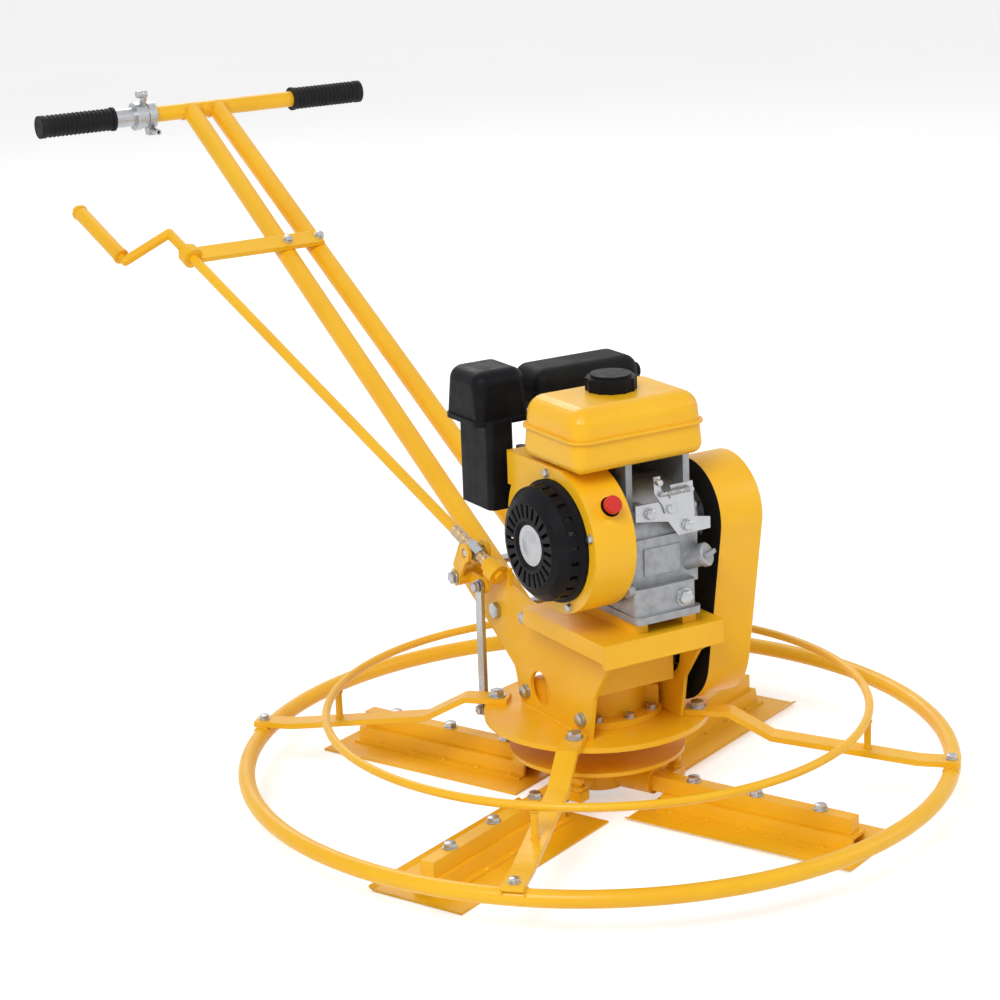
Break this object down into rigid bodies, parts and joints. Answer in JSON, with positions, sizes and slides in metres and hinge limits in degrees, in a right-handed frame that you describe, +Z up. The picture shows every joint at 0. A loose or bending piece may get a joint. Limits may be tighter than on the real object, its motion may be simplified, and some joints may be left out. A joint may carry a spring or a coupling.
{
  "type": "walk-behind power trowel",
  "caption": "Walk-behind concrete power trowel: ringed guard over a bladed rotor, worm gearbox, small engine with belt drive, long handle with grips and a crank that sets blade pitch.",
  "frame": {"origin": "on the rotor axis at floor level, in the plane of the flat blades' undersides", "axes": "+Z up along the rotor axis, +Y forward away from the operator, +X to the operator's right; the handle runs to -Y and up"},
  "size_m": [1.0239, 1.7395, 0.896],
  "materials": {
    "yellow_paint": "gloss paint",
    "black_paint": "satin heat-resistant paint",
    "steel": "zinc plated or machined",
    "alloy": "as cast",
    "iron": "machined casting",
    "bronze": "machined",
    "black_plastic": "moulded",
    "black_rubber": "matt",
    "red_plastic": "moulded"
  },
  "bodies": {
    "frame": {"guard_ring": "yellow_paint", "upper_ring": "yellow_paint", "guard_struts": "yellow_paint", "base_plate": "yellow_paint", "gearbox_case": "yellow_paint", "gearbox_cover": "yellow_paint", "worm_bearings": "steel", "output_bearings": "steel", "shaft_seals": "black_rubber", "rod_bracket": "yellow_paint", "engine_deck": "yellow_paint", "side_plate_right": "yellow_paint", "side_plate_left": "yellow_paint", "handle_bolts": "steel", "handle_tube_right": "yellow_paint", "handle_tube_left": "yellow_paint", "handlebar": "yellow_paint", "throttle_clamp": "steel", "grip_right": "black_rubber", "grip_left": "black_rubber", "engine_block": "alloy", "cylinder_head": "alloy", "blower_housing": "yellow_paint", "recoil_cover": "black_plastic", "fuel_tank": "yellow_paint", "air_cleaner": "black_plastic", "carburettor": "alloy", "silencer": "black_paint", "v_belt": "black_rubber", "belt_guard": "yellow_paint"},
    "rotor": {"spider": "yellow_paint", "spider_bolt": "steel", "output_shaft": "steel", "worm_wheel": "bronze"},
    "arm_1": {"trowel_arm_1": "yellow_paint", "blade_1": "yellow_paint"},
    "arm_2": {"trowel_arm_2": "yellow_paint", "blade_2": "yellow_paint"},
    "arm_3": {"trowel_arm_3": "yellow_paint", "blade_3": "yellow_paint"},
    "arm_4": {"trowel_arm_4": "yellow_paint", "blade_4": "yellow_paint"},
    "plate": {"pressure_plate": "yellow_paint", "thrust_bearing": "steel"},
    "collar": {"thrust_collar": "yellow_paint"},
    "yoke": {"yoke": "yellow_paint"},
    "link": {"pitch_link": "steel"},
    "bell": {"bell_crank": "yellow_paint"},
    "nut": {"pitch_nut": "steel"},
    "crank": {"pitch_rod": "yellow_paint"},
    "crank_handle": {"crank_grip": "yellow_paint"},
    "worm": {"worm_shaft": "steel", "driven_pulley": "iron"},
    "drum": {"clutch_drum": "steel"},
    "engine_shaft": {"crankshaft": "steel", "flywheel": "alloy"},
    "throttle": {"throttle_lever": "steel"},
    "cap": {"fuel_cap": "black_plastic"},
    "choke": {"choke_lever": "black_plastic"},
    "switch": {"stop_switch": "red_plastic"}
  },
  "joints": [
    {"name": "rotor_spin", "type": "hinge", "parent": "frame", "child": "rotor", "pos_m": [0, 0, 0.036], "axis": [0, 0, 1], "continuous": true},
    {"name": "arm_1_tilt", "type": "hinge", "parent": "rotor", "child": "arm_1", "pos_m": [0, 0, 0.036], "axis": [-0.9135, -0.4067, 0], "range_deg": [0, 12.75]},
    {"name": "arm_2_tilt", "type": "hinge", "parent": "rotor", "child": "arm_2", "pos_m": [0, 0, 0.036], "axis": [0.4067, -0.9135, 0], "range_deg": [0, 12.75]},
    {"name": "arm_3_tilt", "type": "hinge", "parent": "rotor", "child": "arm_3", "pos_m": [0, 0, 0.036], "axis": [0.9135, 0.4067, 0], "range_deg": [0, 12.75]},
    {"name": "arm_4_tilt", "type": "hinge", "parent": "rotor", "child": "arm_4", "pos_m": [0, 0, 0.036], "axis": [-0.4067, 0.9135, 0], "range_deg": [0, 12.75]},
    {"name": "plate_slide", "type": "slide", "parent": "rotor", "child": "plate", "axis": [0, 0, -1], "range_m": [0, 0.00853]},
    {"name": "collar_slide", "type": "slide", "parent": "frame", "child": "collar", "axis": [0, 0, -1], "range_m": [0, 0.00853]},
    {"name": "yoke_rock", "type": "hinge", "parent": "frame", "child": "yoke", "pos_m": [0, -0.062, 0.106], "axis": [-1, 0, 0], "range_deg": [0, 7.91]},
    {"name": "link_lift", "type": "slide", "parent": "frame", "child": "link", "axis": [0, 0, 1], "range_m": [0, 0.01056]},
    {"name": "bell_rock", "type": "hinge", "parent": "frame", "child": "bell", "pos_m": [0, -0.18274, 0.29747], "axis": [1, 0, 0], "range_deg": [0, 13.77]},
    {"name": "nut_travel", "type": "slide", "parent": "frame", "child": "nut", "axis": [0.1295, -0.8929, 0.4312], "range_m": [0, 0.01202]},
    {"name": "pitch_crank", "type": "hinge", "parent": "frame", "child": "crank", "pos_m": [0.2, -0.85049, 0.67546], "axis": [-0.1295, 0.8929, -0.4312], "range_deg": [0, 2160]},
    {"name": "crank_grip_spin", "type": "hinge", "parent": "crank", "child": "crank_handle", "pos_m": [0.28439, -0.91561, 0.66834], "axis": [0.1295, -0.8929, 0.4312], "continuous": true},
    {"name": "worm_spin", "type": "hinge", "parent": "frame", "child": "worm", "pos_m": [0, 0.07, 0.222], "axis": [1, 0, 0], "continuous": true},
    {"name": "drum_spin", "type": "hinge", "parent": "frame", "child": "drum", "pos_m": [-0.13, 0.103, 0.424], "axis": [1, 0, 0], "continuous": true},
    {"name": "crankshaft_spin", "type": "hinge", "parent": "frame", "child": "engine_shaft", "pos_m": [0, 0.103, 0.424], "axis": [1, 0, 0], "continuous": true},
    {"name": "throttle_pull", "type": "hinge", "parent": "frame", "child": "throttle", "pos_m": [0.115, -1.204, 0.851], "axis": [1, 0, 0], "range_deg": [0, 60]},
    {"name": "cap_turn", "type": "hinge", "parent": "frame", "child": "cap", "pos_m": [0.02164, 0.091, 0.614], "axis": [0, 0, 1], "range_deg": [0, 120]},
    {"name": "choke_turn", "type": "hinge", "parent": "frame", "child": "choke", "pos_m": [0.063, -0.04, 0.48], "axis": [0, 0, -1], "range_deg": [0, 70]},
    {"name": "stop_press", "type": "slide", "parent": "frame", "child": "switch", "axis": [0, -0.8192, -0.5736], "range_m": [0, 0.003], "stiffness_N_per_m": 400, "springref_m": -0.002}
  ],
  "couplings": [
    {"joint": "nut_travel", "follows": "pitch_crank", "m_per_rad": 0.00031831},
    {"joint": "bell_rock", "follows": "pitch_crank", "ratio": 0.0063662},
    {"joint": "link_lift", "follows": "pitch_crank", "m_per_rad": 0.00027944},
    {"joint": "yoke_rock", "follows": "pitch_crank", "ratio": 0.0036528},
    {"joint": "collar_slide", "follows": "pitch_crank", "m_per_rad": 0.00022576},
    {"joint": "plate_slide", "follows": "pitch_crank", "m_per_rad": 0.00022576},
    {"joint": "arm_1_tilt", "follows": "pitch_crank", "ratio": 0.0058777},
    {"joint": "arm_2_tilt", "follows": "pitch_crank", "ratio": 0.0058777},
    {"joint": "arm_3_tilt", "follows": "pitch_crank", "ratio": 0.0058777},
    {"joint": "arm_4_tilt", "follows": "pitch_crank", "ratio": 0.0058777},
    {"joint": "worm_spin", "follows": "rotor_spin", "ratio": 26},
    {"joint": "drum_spin", "follows": "rotor_spin", "ratio": 41.6}
  ]
}
